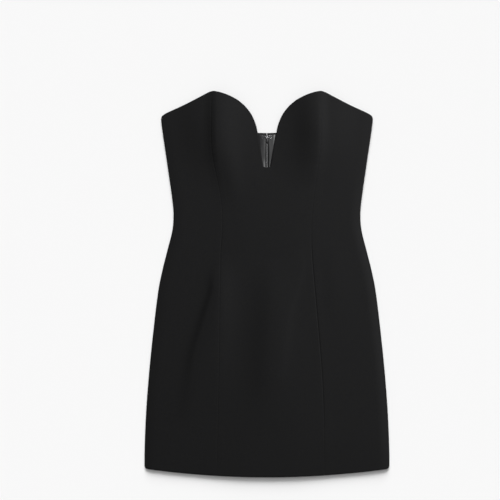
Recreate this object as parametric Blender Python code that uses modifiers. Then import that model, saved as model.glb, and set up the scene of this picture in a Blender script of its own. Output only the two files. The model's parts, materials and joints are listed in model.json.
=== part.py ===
"""Strapless mini dress with a notched sweetheart neckline, laid flat with its front up.

Metres, +Z up. +Y runs from the hem to the neckline, X is across the dress, and Z = 0 is
the surface that the back rests on. The origin is on that surface, under the middle.
"""

import math
from collections import namedtuple

import bmesh
import bpy
from mathutils import Matrix, Vector

OutlineRow = namedtuple("OutlineRow", "y half_width")
EdgeRow = namedtuple("EdgeRow", "x y")
SeamRow = namedtuple("SeamRow", "y x")
CupRow = namedtuple("CupRow", "y dome ridge")
FoldRow = namedtuple("FoldRow", "y x height left right")

# Cloth and the gaps between its layers
CREPE = 0.0013
SATIN = 0.0010
TAPE = 0.0008
GAP = 0.0003

# Side folds: how far the cloth rolls in from the edge, and the height of the side seam
ROLL_WIDTH = 0.0030
SEAM_HEIGHT = 0.0023
ROLL_HEIGHT = SEAM_HEIGHT - GAP / 2

# Outline of the laid dress, from the hem to the underarm
SIDE_OUTLINE = (
    OutlineRow(-0.3765, 0.2392),
    OutlineRow(-0.3237, 0.2390),
    OutlineRow(-0.2457, 0.2358),
    OutlineRow(-0.1677, 0.2298),
    OutlineRow(-0.0897, 0.2218),
    OutlineRow(-0.0117, 0.2122),
    OutlineRow(0.0273, 0.2044),
    OutlineRow(0.0663, 0.1946),
    OutlineRow(0.1053, 0.1849),
    OutlineRow(0.1355, 0.1825),
    OutlineRow(0.1638, 0.1847),
    OutlineRow(0.2340, 0.1946),
    OutlineRow(0.2964, 0.2038),
    OutlineRow(0.3250, 0.2075),
)

# Neckline from the turn into the notch, over the peak, to the underarm
TOP_EDGE = (
    EdgeRow(0.0443, 0.3491),
    EdgeRow(0.0560, 0.3587),
    EdgeRow(0.0716, 0.3670),
    EdgeRow(0.0872, 0.3728),
    EdgeRow(0.0989, 0.3756),
    EdgeRow(0.1060, 0.3762),
    EdgeRow(0.1145, 0.3736),
    EdgeRow(0.1300, 0.3656),
    EdgeRow(0.1613, 0.3500),
    EdgeRow(0.1925, 0.3360),
    EdgeRow(0.2003, 0.3319),
    EdgeRow(0.2050, 0.3280),
    EdgeRow(0.2076, 0.3215),
)

# Notch between the cups: a slit with a round end that flares into the neckline
NOTCH_BOTTOM = 0.2272
NOTCH_RADIUS = 0.0068
NOTCH_EDGE = (
    OutlineRow(0.2340, 0.0074),
    OutlineRow(0.2436, 0.0092),
    OutlineRow(0.2642, 0.0122),
    OutlineRow(0.2935, 0.0178),
    OutlineRow(0.3091, 0.0209),
    OutlineRow(0.3286, 0.0287),
    OutlineRow(0.3403, 0.0365),
    OutlineRow(0.3491, 0.0443),
)

# Princess seams, as distances from the centre front
LEFT_SEAM = (
    SeamRow(-0.3765, 0.0980),
    SeamRow(-0.1804, 0.0942),
    SeamRow(0.0600, 0.0905),
    SeamRow(0.1200, 0.0872),
    SeamRow(0.1700, 0.0905),
    SeamRow(0.2623, 0.1076),
    SeamRow(0.3765, 0.1080),
)
RIGHT_SEAM = (
    SeamRow(-0.3765, 0.1130),
    SeamRow(-0.2000, 0.1088),
    SeamRow(-0.0300, 0.0952),
    SeamRow(0.0600, 0.0876),
    SeamRow(0.1200, 0.0872),
    SeamRow(0.1700, 0.0915),
    SeamRow(0.2798, 0.1050),
    SeamRow(0.3765, 0.1036),
)

# Hem: its lowest point is at the centre, and its corners are round
HEM_CENTRE = -0.3765
HEM_RISE = 0.0145
HEM_RISE_AT = 0.224
HEM_CORNER = 0.006

# Top edge of the back, lowest at the zip
BACK_TOP_CENTRE = 0.2954
BACK_TOP_RISE = 0.0246
BACK_TOP_HALF = 0.2075
BACK_TOP_BEND = 1.5
BACK_HEM_SHORT = 0.0010

# Cups: a broad dome with a sharper ridge along each princess seam
CUP_ROWS = (
    CupRow(0.165, 0.0000, 0.0000),
    CupRow(0.195, 0.0012, 0.0010),
    CupRow(0.230, 0.0050, 0.0035),
    CupRow(0.265, 0.0095, 0.0068),
    CupRow(0.305, 0.0120, 0.0090),
    CupRow(0.345, 0.0108, 0.0080),
    CupRow(0.377, 0.0085, 0.0055),
)
DOME_OUTER = 0.066
DOME_INNER = 0.058
RIDGE_OUTER = 0.0145
RIDGE_INNER = 0.042
LEFT_RIDGE_INSET = 0.001
RIGHT_RIDGE_INSET = 0.001

# The front crowns over the zip and lining, and lifts along the notch
CROWN = 0.0016
CROWN_FLAT = 0.035
CROWN_END = 0.150
LIP = 0.0032
LIP_WIDTH = 0.017
LIP_FOOT = 0.030
SIDE_TAPER = 0.045

# Largest folds of the skirt: crest place and height, and how far each flank reaches
FOLDS = (
    (
        FoldRow(0.060, -0.087, 0.0000, 0.022, 0.024),
        FoldRow(0.000, -0.088, 0.0036, 0.024, 0.026),
        FoldRow(-0.070, -0.092, 0.0046, 0.034, 0.028),
        FoldRow(-0.130, -0.098, 0.0040, 0.044, 0.030),
        FoldRow(-0.196, -0.104, 0.0020, 0.050, 0.032),
        FoldRow(-0.260, -0.108, 0.0000, 0.050, 0.032),
    ),
    (
        FoldRow(0.050, 0.014, 0.0000, 0.028, 0.034),
        FoldRow(-0.010, 0.011, 0.0036, 0.030, 0.038),
        FoldRow(-0.090, 0.006, 0.0048, 0.032, 0.042),
        FoldRow(-0.165, 0.001, 0.0042, 0.032, 0.042),
        FoldRow(-0.225, -0.002, 0.0018, 0.032, 0.040),
        FoldRow(-0.285, -0.004, 0.0000, 0.032, 0.040),
    ),
)

# Grid of each panel. Rows above the notch are close together
FRONT_ROWS_LOW = 22
FRONT_ROWS_HIGH = 14
CENTRE_COLUMNS = 12
SIDE_COLUMNS = 11
ROLL_COLUMNS = 3
BACK_ROWS_LOW = 11
BACK_ROWS_HIGH = 9
BACK_COLUMNS = 13
LINING_COLUMNS = 11
TAPE_COLUMNS = 3
CHAIN_COLUMNS = 4
ROD_SIDES = 16
BACK_ROWS_SPLIT = 0.235

# Step over which the slope of the front is taken
SLOPE_STEP = 0.0005

# How much closer together the columns and rows are at the start of a panel
SIDE_EASE = 1.6
BACK_EASE = 2.0
LINING_EASE = 1.9
ZIP_EASE = 1.6
NOTCH_EASE = 1.4

# Centre back zip, which opens at the top edge and ends below the waist
ZIP_TOP = 0.2915
ZIP_END = -0.100
CHAIN_TOP = 0.2757
CHAIN_HALF = 0.0015
CHAIN_DEPTH = 0.0016
CHAIN_ROUND = 0.45
TAPE_INNER = 0.0018
TAPE_OUTER = 0.0110
ZIP_ROWS = 32
LINING_INNER = 0.0032
LINING_LIFT_FULL = 0.013
LINING_LIFT_END = 0.020
LINING_SIDE_INSET = 0.0075
LINING_TOP_DROP = 0.0030
LINING_HEM_DROP = 0.025

# The pull lies under the back, which rises over it
PULL_PIVOT_Y = 0.2810
PULL_PIVOT_Z = 0.0008
PULL_LENGTH = 0.0190
PULL_HALF_WIDTH = 0.00195
PULL_DEPTH = 0.0008
EAR_RADIUS = 0.00072
EAR_HOLE = 0.00050
EAR_INNER = 0.00075
EAR_REACH = 0.0015
PIN_RADIUS = 0.00030
PIN_HEAD_RADIUS = 0.00068
PIN_HEAD_DEPTH = 0.00035
PIN_HALF = 0.00260
NECK_BELOW_PIN = 0.0001
NECK_HALF_X = 0.00045
NECK_HALF_Y = 0.0009
SLIDER_HALF_X = 0.0025
SLIDER_LOW = 0.2762
SLIDER_HIGH = 0.2848
SLIDER_DEPTH = 0.0021
SLIDER_BEVEL = 0.0006
SEAT_RISE = 0.0017
SEAT_LOW = 0.264
SEAT_HIGH = 0.284
SEAT_FLAT = 0.004
SEAT_REACH = 0.022
SLIDER_SLOT = 0.0013
SLIDER_SLOT_REACH = 0.012

# Hook and eye above the zip
WIRE_RADIUS = 0.00035
HOOK_Y = 0.2876
HOOK_BACK = -0.0098
HOOK_TIP = 0.0006
HOOK_RETURN = 0.0036
HOOK_RISE = 0.0021
SHANK_HALF = 0.00055
RING_RADIUS = 0.0013
RING_ARC = math.radians(280)
RING_POINTS = 10
BEND_POINTS = 6
EYE_BACK = 0.0076
EYE_TIP = -0.0010
EYE_HALF = 0.0016
EYE_NOSE_FOOT = 0.0042


def smoothstep(value):
    """0 below 0, 1 above 1, and smooth between."""
    value = min(max(value, 0.0), 1.0)
    return value * value * (3.0 - 2.0 * value)


def bell(distance, width):
    return math.exp(-((distance / width) ** 2))


def read_table(rows, key, column, at):
    """Value of a column where the key column is at, on a smooth curve through the rows."""
    keys = [getattr(row, key) for row in rows]
    values = [getattr(row, column) for row in rows]
    if keys[0] > keys[-1]:
        keys.reverse()
        values.reverse()
    if at <= keys[0]:
        return values[0]
    if at >= keys[-1]:
        return values[-1]
    last = len(keys) - 1
    i = max(k for k in range(last) if keys[k] <= at)
    span = keys[i + 1] - keys[i]
    t = (at - keys[i]) / span
    before = max(i - 1, 0)
    after = min(i + 2, last)
    start_slope = (values[i + 1] - values[before]) / (keys[i + 1] - keys[before])
    end_slope = (values[after] - values[i]) / (keys[after] - keys[i])
    return (
        values[i] * (2 * t**3 - 3 * t**2 + 1)
        + start_slope * span * (t**3 - 2 * t**2 + t)
        + values[i + 1] * (3 * t**2 - 2 * t**3)
        + end_slope * span * (t**3 - t**2)
    )


def side_edge(y):
    return read_table(SIDE_OUTLINE, "y", "half_width", y)


def seam_edge(side, y):
    rows = LEFT_SEAM if side < 0 else RIGHT_SEAM
    return read_table(rows, "y", "x", y)


def top_edge(x):
    return read_table(TOP_EDGE, "x", "y", abs(x))


def back_top_edge(x):
    out = min(abs(x) / BACK_TOP_HALF, 1.0)
    return BACK_TOP_CENTRE + BACK_TOP_RISE * out**BACK_TOP_BEND


def hem_edge(x):
    """Height of the hem, a shallow curve with a round corner at each side."""
    inset = max(HEM_CORNER - (side_edge(HEM_CENTRE) - abs(x)), 0.0)
    corner = HEM_CORNER - math.sqrt(max(HEM_CORNER**2 - inset**2, 0.0))
    return HEM_CENTRE + HEM_RISE * (x / HEM_RISE_AT) ** 2 + corner


def notch_edge(y):
    """Half width of the notch, 0 below it."""
    up = y - NOTCH_BOTTOM
    if up <= 0.0:
        return 0.0
    flare = read_table(NOTCH_EDGE, "y", "half_width", y)
    if up < NOTCH_RADIUS:
        return flare * math.sqrt(up * (2 * NOTCH_RADIUS - up)) / NOTCH_RADIUS
    return flare


def cup_relief(x, y):
    """Height that the two cups add to the front."""
    dome = read_table(CUP_ROWS, "y", "dome", y)
    ridge = read_table(CUP_ROWS, "y", "ridge", y)
    total = 0.0
    for side, inset in ((-1, LEFT_RIDGE_INSET), (1, RIGHT_RIDGE_INSET)):
        out = x * side - (seam_edge(side, y) - inset)
        total += dome * bell(out, DOME_OUTER if out > 0 else DOME_INNER)
        total += ridge * bell(out, RIDGE_OUTER if out > 0 else RIDGE_INNER)
    return total


def fold_relief(x, y):
    """Height that the skirt's folds add to the front."""
    total = 0.0
    for rows in FOLDS:
        off = x - read_table(rows, "y", "x", y)
        width = read_table(rows, "y", "right" if off > 0 else "left", y)
        total += read_table(rows, "y", "height", y) * bell(off, width)
    return total


def front_relief(x, y):
    """Height of the front above a plain flat layer."""
    crown = CROWN * smoothstep((CROWN_END - abs(x)) / (CROWN_END - CROWN_FLAT))
    taper = smoothstep((side_edge(y) - ROLL_WIDTH - abs(x)) / SIDE_TAPER)
    lip = LIP * bell(abs(x) - notch_edge(y), LIP_WIDTH)
    lip *= smoothstep((y - NOTCH_BOTTOM + LIP_FOOT) / LIP_FOOT)
    return taper * (crown + cup_relief(x, y) + fold_relief(x, y)) + lip


def front_point(x, y, roll, inward):
    """Point of the front at x, y, or round the side fold by the angle roll."""
    side = -1 if x < 0 else 1
    if roll > 0.0:
        edge = side_edge(y)
        px = side * (edge - ROLL_WIDTH + (ROLL_WIDTH - inward) * math.sin(roll))
        pz = SEAM_HEIGHT + GAP / 2 + (ROLL_HEIGHT - inward) * math.cos(roll)
        return Vector((px, y, pz))
    near = SLOPE_STEP
    slope_x = (front_relief(x + near, y) - front_relief(x - near, y)) / (2 * near)
    slope_y = (front_relief(x, y + near) - front_relief(x, y - near)) / (2 * near)
    normal = Vector((-slope_x, -slope_y, 1.0)).normalized()
    height = SEAM_HEIGHT + GAP / 2 + ROLL_HEIGHT + front_relief(x, y)
    return Vector((x, y, height)) - inward * normal


def meet(edge, x_at, low, high):
    """Height between low and high where a column, x_at(y), reaches an edge."""
    for _ in range(32):
        middle = (low + high) / 2
        if edge(x_at(middle)) > middle:
            low = middle
        else:
            high = middle
    return (low + high) / 2


def split_rows(v, split, low, middle, high, ease=1.0):
    """Height for v when the rows below split end at middle and the rest at high."""
    if v <= split:
        return low + (middle - low) * v / split
    return middle + (high - middle) * ((v - split) / (1.0 - split)) ** ease


FRONT_SPLIT = FRONT_ROWS_LOW / (FRONT_ROWS_LOW + FRONT_ROWS_HIGH)
TALL = 0.40


def column_point(x_at, v):
    """Place along a column of the front whose x at any height is x_at."""
    low = meet(hem_edge, x_at, -TALL, 0.0)
    high = meet(top_edge, x_at, NOTCH_BOTTOM, TALL)
    return split_rows(v, FRONT_SPLIT, low, NOTCH_BOTTOM, high, NOTCH_EASE)


def front_centre_place(u, v, inward):
    """u runs from -1 at the left princess seam to 1 at the right one."""
    side = -1 if u < 0 else 1

    def x_at(y):
        inner = notch_edge(y)
        return inner + (seam_edge(side, y) - GAP / 2 - inner) * abs(u)

    y = column_point(x_at, v)
    return front_point(side * max(x_at(y), 1e-9), y, 0.0, inward)


def front_side_place(side, u, v, inward):
    """u runs from 0 at the princess seam to 1 at the side seam."""
    flat = SIDE_COLUMNS / (SIDE_COLUMNS + ROLL_COLUMNS)
    across = min(u / flat, 1.0) ** SIDE_EASE
    roll = max(u - flat, 0.0) / (1.0 - flat) * math.pi / 2
    roll_out = ROLL_WIDTH * math.sin(roll)

    def x_at(y):
        inner = seam_edge(side, y) + GAP / 2
        return inner + (side_edge(y) - ROLL_WIDTH - inner) * across + roll_out

    y = column_point(x_at, v)
    return front_point(side * x_at(y), y, roll if roll > 1e-6 else 0.0, inward)


def seat_rise(x, y):
    """How far the back lifts off the ground over the zip's pull."""
    along = min(max(y, SEAT_LOW), SEAT_HIGH)
    distance = math.hypot(x, y - along)
    return SEAT_RISE * smoothstep(1.0 - (distance - SEAT_FLAT) / SEAT_REACH)


BACK_SPLIT = BACK_ROWS_LOW / (BACK_ROWS_LOW + BACK_ROWS_HIGH)


def back_place(side, u, v, inward):
    """u runs from 0 at the zip to 1 at the side seam."""
    flat = BACK_COLUMNS / (BACK_COLUMNS + ROLL_COLUMNS)
    across = min(u / flat, 1.0) ** BACK_EASE
    roll = max(u - flat, 0.0) / (1.0 - flat) * math.pi / 2

    def x_at(y):
        slot = SLIDER_SLOT * bell(y - PULL_PIVOT_Y, SLIDER_SLOT_REACH)
        inner = GAP / 2 + slot
        wide = side_edge(y) - ROLL_WIDTH - inner
        return inner + wide * across + ROLL_WIDTH * math.sin(roll)

    low = meet(hem_edge, x_at, -TALL, 0.0) + BACK_HEM_SHORT
    high = meet(back_top_edge, x_at, 0.0, TALL)
    y = split_rows(v, BACK_SPLIT, low, BACK_ROWS_SPLIT, high)
    if roll > 1e-6:
        x = side_edge(y) - ROLL_WIDTH + (ROLL_WIDTH - inward) * math.sin(roll)
        return Vector((side * x, y, ROLL_HEIGHT - (ROLL_HEIGHT - inward) * math.cos(roll)))
    x = x_at(y)
    return Vector((side * x, y, seat_rise(x, y) + inward))


def lining_base(x, y):
    """Underside of the lining, which lies on the back and over the zip tape."""
    over_tape = (LINING_LIFT_END - abs(x)) / (LINING_LIFT_END - LINING_LIFT_FULL)
    lift = (TAPE + GAP) * smoothstep(over_tape)
    return CREPE + GAP + lift + seat_rise(x, y)


def lining_place(side, u, v, inward):
    """u runs from 0 beside the zip to 1 near the side seam."""

    def x_at(y):
        wide = side_edge(y) - LINING_SIDE_INSET - LINING_INNER
        return LINING_INNER + wide * u**LINING_EASE

    low = meet(hem_edge, x_at, -TALL, 0.0) + LINING_HEM_DROP
    high = meet(back_top_edge, x_at, 0.0, TALL) - LINING_TOP_DROP
    y = split_rows(v, BACK_SPLIT, low, BACK_ROWS_SPLIT, high)
    x = x_at(y)
    return Vector((side * x, y, lining_base(x, y) + SATIN - inward))


def tape_place(side, u, v, inward):
    x = TAPE_INNER + (TAPE_OUTER - TAPE_INNER) * u
    y = ZIP_TOP - (ZIP_TOP - ZIP_END) * (1.0 - v) ** ZIP_EASE
    return Vector((side * x, y, CREPE + GAP + TAPE + seat_rise(x, y) - inward))


def chain_place(u, v, inward):
    """The closed chain, with a rounded top. u runs from -1 to 1."""
    y = CHAIN_TOP - (CHAIN_TOP - ZIP_END) * (1.0 - v) ** ZIP_EASE
    base = CREPE + GAP + seat_rise(0.0, y)
    if inward > 0.0:
        return Vector((CHAIN_HALF * u, y, base))
    return Vector((CHAIN_HALF * u, y, base + CHAIN_DEPTH * (1.0 - CHAIN_ROUND * u * u)))


def new_material(name, colour, roughness, metallic):
    material = bpy.data.materials.new(name)
    material.use_nodes = True
    shader = material.node_tree.nodes["Principled BSDF"]
    shader.inputs["Base Color"].default_value = (*colour, 1.0)
    shader.inputs["Roughness"].default_value = roughness
    shader.inputs["Metallic"].default_value = metallic
    return material


def keep_mesh(name, bm, finish, collection):
    """Make a named object from a bmesh, with a material of its own."""
    mesh = bpy.data.meshes.new(name)
    bmesh.ops.recalc_face_normals(bm, faces=bm.faces[:])
    bm.to_mesh(mesh)
    bm.free()
    mesh.shade_smooth()
    mesh.set_sharp_from_angle(angle=math.radians(40))
    mesh.materials.append(new_material(name, *finish))
    piece = bpy.data.objects.new(name, mesh)
    collection.objects.link(piece)
    return piece


def thicken(bm):
    """Close a flat grid into a wall: its second skin is at z = -1 until it is placed."""
    grown = bmesh.ops.extrude_face_region(bm, geom=bm.faces[:], use_keep_orig=True)
    for item in grown["geom"]:
        if isinstance(item, bmesh.types.BMVert):
            item.co.z = -1.0


def cloth_wall(name, columns, rows, place, thickness, finish, collection):
    """Wall over a grid of u from 0 to 1 and v from 0 to 1, placed by place(u, v, inward)."""
    bm = bmesh.new()
    bmesh.ops.create_grid(bm, x_segments=columns, y_segments=rows, size=0.5)
    bmesh.ops.translate(bm, verts=bm.verts[:], vec=(0.5, 0.5, 0.0))
    thicken(bm)
    for vert in bm.verts:
        vert.co = place(vert.co.x, vert.co.y, -vert.co.z * thickness)
    return keep_mesh(name, bm, finish, collection)


def notched_wall(name, grid, place, thickness, finish, collection):
    """Wall of two grids, u from -1 to 0 and from 0 to 1, joined below a row of v."""
    columns, rows, split_row = grid
    bm = bmesh.new()
    apart = 0.001
    for side in (-1, 1):
        half = bmesh.ops.create_grid(bm, x_segments=columns, y_segments=rows, size=0.5)
        bmesh.ops.translate(bm, verts=half["verts"], vec=(side * (0.5 + apart), 0.5, 0.0))
    middle = [v for v in bm.verts if abs(v.co.x) < 2 * apart and v.co.y < split_row + apart]
    bmesh.ops.remove_doubles(bm, verts=middle, dist=3 * apart)
    thicken(bm)
    for vert in bm.verts:
        side = -1 if vert.co.x < 0 else 1
        u = side * max(abs(vert.co.x) - apart, 0.0)
        if u == 0.0:
            u = side * 1e-9
        vert.co = place(u, vert.co.y, -vert.co.z * thickness)
    return keep_mesh(name, bm, finish, collection)


def make_front(collection, crepe):
    rows = FRONT_ROWS_LOW + FRONT_ROWS_HIGH
    grid = (CENTRE_COLUMNS, rows, FRONT_SPLIT)
    notched_wall("front_centre", grid, front_centre_place, CREPE, crepe, collection)
    for side, name in ((-1, "front_side_left"), (1, "front_side_right")):
        place = lambda u, v, inward, side=side: front_side_place(side, u, v, inward)
        cloth_wall(name, SIDE_COLUMNS + ROLL_COLUMNS, rows, place, CREPE, crepe, collection)


def make_back(collection, crepe, satin):
    rows = BACK_ROWS_LOW + BACK_ROWS_HIGH
    for side, end in ((-1, "left"), (1, "right")):
        place = lambda u, v, inward, side=side: back_place(side, u, v, inward)
        columns = BACK_COLUMNS + ROLL_COLUMNS
        cloth_wall("back_" + end, columns, rows, place, CREPE, crepe, collection)
        place = lambda u, v, inward, side=side: lining_place(side, u, v, inward)
        cloth_wall("lining_" + end, LINING_COLUMNS, rows, place, SATIN, satin, collection)


def make_zip(collection, tape, nylon):
    for side, name in ((-1, "zip_tape_left"), (1, "zip_tape_right")):
        place = lambda u, v, inward, side=side: tape_place(side, u, v, inward)
        cloth_wall(name, TAPE_COLUMNS, ZIP_ROWS, place, TAPE, tape, collection)
    place = lambda u, v, inward: chain_place(2.0 * u - 1.0, v, inward)
    cloth_wall("zip_chain", CHAIN_COLUMNS, ZIP_ROWS, place, CHAIN_DEPTH, nylon, collection)


def put_in(piece, name, collection):
    """Name a new object and move it to a collection."""
    for home in list(piece.users_collection):
        home.objects.unlink(piece)
    collection.objects.link(piece)
    piece.name = name
    piece.data.name = name
    return piece


def add_box(name, low, high, collection):
    """A box between two corners."""
    low = Vector(low)
    size = Vector(high) - low
    bpy.ops.mesh.primitive_cube_add(size=1.0)
    box = bpy.context.object
    box.data.transform(Matrix.Translation(low + size / 2) @ Matrix.Diagonal((*size, 1.0)))
    return put_in(box, name, collection)


def add_rod(name, radius, low_x, high_x, collection):
    """A cylinder along X, on the axis of the pull's pin."""
    bpy.ops.mesh.primitive_cylinder_add(vertices=ROD_SIDES, radius=radius, depth=high_x - low_x)
    rod = bpy.context.object
    turn = Matrix.Rotation(math.pi / 2, 4, "Y")
    rod.data.transform(Matrix.Translation(((low_x + high_x) / 2, 0.0, 0.0)) @ turn)
    return put_in(rod, name, collection)


def combine(body, tools, operation):
    """Join or cut a body with tool objects, which stay as hidden guides."""
    for tool in tools:
        tool.location = body.location
        tool.hide_render = True
        tool.display_type = "WIRE"
        change = body.modifiers.new(tool.name, "BOOLEAN")
        change.operation = operation
        change.solver = "EXACT"
        change.object = tool


def make_slider(collection, cutters, metal):
    """Slider body on the inside, with a neck through the seam that carries the pull's pin."""
    low = CREPE + GAP + TAPE + GAP + SEAT_RISE - PULL_PIVOT_Z
    slider = add_box(
        "zip_slider",
        (-SLIDER_HALF_X, SLIDER_LOW - PULL_PIVOT_Y, low),
        (SLIDER_HALF_X, SLIDER_HIGH - PULL_PIVOT_Y, low + SLIDER_DEPTH),
        collection,
    )
    slider.location = (0.0, PULL_PIVOT_Y, PULL_PIVOT_Z)
    slider.data.materials.append(new_material("zip_slider", *metal))
    soften = slider.modifiers.new("soft edges", "BEVEL")
    soften.width = SLIDER_BEVEL
    soften.segments = 2
    neck = add_box(
        "slider_neck",
        (-NECK_HALF_X, -NECK_HALF_Y, -PIN_RADIUS - NECK_BELOW_PIN),
        (NECK_HALF_X, NECK_HALF_Y, low + GAP),
        cutters,
    )
    pin = add_rod("slider_pin", PIN_RADIUS, -PIN_HALF, PIN_HALF, cutters)
    heads = []
    for side, end in ((-1, "left"), (1, "right")):
        ends = sorted((side * PIN_HALF, side * (PIN_HALF - PIN_HEAD_DEPTH)))
        heads.append(add_rod("pin_head_" + end, PIN_HEAD_RADIUS, *ends, cutters))
    combine(slider, [neck, pin, *heads], "UNION")


def make_pull(collection, cutters, metal):
    """Pull tab with two ears that turn on the pin. Its origin is on the pin's axis."""
    pull = add_box(
        "zip_pull",
        (-PULL_HALF_WIDTH, -PULL_LENGTH, -PULL_DEPTH / 2),
        (PULL_HALF_WIDTH, -EAR_REACH, PULL_DEPTH / 2),
        collection,
    )
    pull.location = (0.0, PULL_PIVOT_Y, PULL_PIVOT_Z)
    pull.data.materials.append(new_material("zip_pull", *metal))
    ears = []
    for side, end in ((-1, "left"), (1, "right")):
        ends = sorted((side * EAR_INNER, side * PULL_HALF_WIDTH))
        ears.append(add_rod("ear_" + end, EAR_RADIUS, *ends, cutters))
        low = (ends[0], -EAR_REACH - GAP, -PULL_DEPTH / 2)
        high = (ends[1], 0.0, PULL_DEPTH / 2)
        ears.append(add_box("ear_arm_" + end, low, high, cutters))
    combine(pull, ears, "UNION")
    hole = add_rod("ear_hole", EAR_HOLE, -2 * PIN_HALF, 2 * PIN_HALF, cutters)
    combine(pull, [hole], "DIFFERENCE")


def ring(centre_x, centre_y, backward):
    """Sewing ring of a hook or eye, as points that end where its shank starts."""
    points = []
    for k in range(RING_POINTS + 1):
        angle = -math.pi / 2 - backward * RING_ARC * (1.0 - k / RING_POINTS)
        along = centre_x + RING_RADIUS * math.cos(angle)
        points.append((along, centre_y + RING_RADIUS * math.sin(angle), 0.0))
    return points


def hook_points():
    """Half of the hook: ring, shank, bend and return, for y over 0."""
    points = ring(HOOK_BACK, SHANK_HALF + RING_RADIUS, 1)
    for k in range(BEND_POINTS + 1):
        angle = -math.pi / 2 + math.pi * k / BEND_POINTS
        out = HOOK_TIP + HOOK_RISE / 2 * math.cos(angle)
        points.append((out, SHANK_HALF, HOOK_RISE / 2 * (1.0 + math.sin(angle))))
    points.append((HOOK_TIP - HOOK_RETURN, SHANK_HALF, HOOK_RISE))
    return points


def eye_points():
    """Half of the eye: ring, leg and half of the round nose, for y over 0."""
    points = ring(EYE_BACK, EYE_HALF + RING_RADIUS, -1)
    points.append((EYE_NOSE_FOOT, EYE_HALF, 0.0))
    for k in range(BEND_POINTS):
        angle = math.pi / 2 * (1.0 + k / BEND_POINTS)
        along = EYE_TIP + EYE_HALF + EYE_HALF * math.cos(angle)
        points.append((along, EYE_HALF * math.sin(angle), HOOK_RISE / 2))
    return points


def add_wire(name, half, collection, metal):
    """Wire piece that is the same on both sides of y = 0, laid on the lining."""
    path = half + [(x, -y, z) for x, y, z in reversed(half)]
    curve = bpy.data.curves.new(name, "CURVE")
    curve.dimensions = "3D"
    curve.bevel_depth = WIRE_RADIUS
    curve.bevel_resolution = 1
    curve.use_fill_caps = True
    spline = curve.splines.new("POLY")
    spline.points.add(len(path) - 1)
    for point, (x, y, z) in zip(spline.points, path):
        lie = lining_base(x, HOOK_Y + y) + SATIN + GAP + WIRE_RADIUS
        point.co = (x, HOOK_Y + y, lie + z, 1.0)
    curve.materials.append(new_material(name, *metal))
    wire = bpy.data.objects.new(name, curve)
    collection.objects.link(wire)


def clear_scene():
    for item in list(bpy.data.objects):
        bpy.data.objects.remove(item, do_unlink=True)


def main():
    clear_scene()
    collection = bpy.data.collections.new("strapless_dress")
    cutters = bpy.data.collections.new("cutters")
    bpy.context.scene.collection.children.link(collection)
    bpy.context.scene.collection.children.link(cutters)
    crepe = ((0.010, 0.010, 0.011), 0.82, 0.0)
    satin = ((0.022, 0.022, 0.024), 0.38, 0.0)
    tape = ((0.012, 0.012, 0.013), 0.75, 0.0)
    nylon = ((0.020, 0.020, 0.022), 0.45, 0.0)
    metal = ((0.42, 0.42, 0.43), 0.32, 1.0)
    make_front(collection, crepe)
    make_back(collection, crepe, satin)
    make_zip(collection, tape, nylon)
    make_slider(collection, cutters, metal)
    make_pull(collection, cutters, metal)
    add_wire("hook", hook_points(), collection, metal)
    add_wire("eye", eye_points(), collection, metal)


main()
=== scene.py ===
import json
import math

import bpy
import numpy as np
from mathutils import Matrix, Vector

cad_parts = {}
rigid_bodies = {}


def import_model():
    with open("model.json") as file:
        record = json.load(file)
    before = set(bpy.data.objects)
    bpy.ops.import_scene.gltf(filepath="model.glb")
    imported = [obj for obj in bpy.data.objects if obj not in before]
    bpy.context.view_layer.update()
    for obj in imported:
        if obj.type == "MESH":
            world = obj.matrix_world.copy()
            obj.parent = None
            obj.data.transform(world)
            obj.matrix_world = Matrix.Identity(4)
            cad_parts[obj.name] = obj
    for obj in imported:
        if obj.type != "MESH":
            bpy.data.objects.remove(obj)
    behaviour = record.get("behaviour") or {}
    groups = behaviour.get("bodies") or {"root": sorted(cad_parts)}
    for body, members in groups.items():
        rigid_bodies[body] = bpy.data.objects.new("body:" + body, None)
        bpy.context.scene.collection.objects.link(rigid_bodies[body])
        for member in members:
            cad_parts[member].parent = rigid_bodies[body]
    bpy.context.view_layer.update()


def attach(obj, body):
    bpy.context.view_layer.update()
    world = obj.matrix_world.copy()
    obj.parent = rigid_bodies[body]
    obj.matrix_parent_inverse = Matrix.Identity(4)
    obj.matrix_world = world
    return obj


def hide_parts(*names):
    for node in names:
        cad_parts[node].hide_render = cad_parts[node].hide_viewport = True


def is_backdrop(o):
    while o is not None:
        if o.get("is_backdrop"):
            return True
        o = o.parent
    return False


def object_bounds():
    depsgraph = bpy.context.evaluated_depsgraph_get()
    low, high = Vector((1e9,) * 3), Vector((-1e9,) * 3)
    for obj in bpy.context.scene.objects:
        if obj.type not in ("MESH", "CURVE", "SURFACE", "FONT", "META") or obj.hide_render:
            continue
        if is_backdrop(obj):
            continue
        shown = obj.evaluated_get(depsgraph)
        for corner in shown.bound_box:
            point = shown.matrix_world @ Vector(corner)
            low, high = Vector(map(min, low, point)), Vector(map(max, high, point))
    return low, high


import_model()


# Back panels
# Two panels of matt black double crepe, seamed from the end of the zip to the hem, with a
# shaping seam each. They lie face down on the surface and roll up into the side seams.
CREPE_THICK = 0.0013
SEAM_GAP = 0.0003
SIDE_ROLL = 0.0030
SEAM_HEIGHT = 0.0023
ROLL_HEIGHT = SEAM_HEIGHT - SEAM_GAP / 2
SIDE_OUTLINE = (
    (-0.3765, 0.2392), (-0.3237, 0.2390), (-0.2457, 0.2358), (-0.1677, 0.2298),
    (-0.0897, 0.2218), (-0.0117, 0.2122), (0.0273, 0.2044), (0.0663, 0.1946),
    (0.1053, 0.1849), (0.1355, 0.1825), (0.1638, 0.1847), (0.2340, 0.1946),
    (0.2964, 0.2038), (0.3250, 0.2075),
)
HEM_CENTRE = -0.3765
HEM_RISE = 0.0145
HEM_RISE_AT = 0.224
HEM_CORNER = 0.006
BACK_TOP_CENTRE = 0.2954
BACK_TOP_RISE = 0.0246
BACK_TOP_HALF = 0.2075
BACK_TOP_CURVE = 1.5
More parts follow.
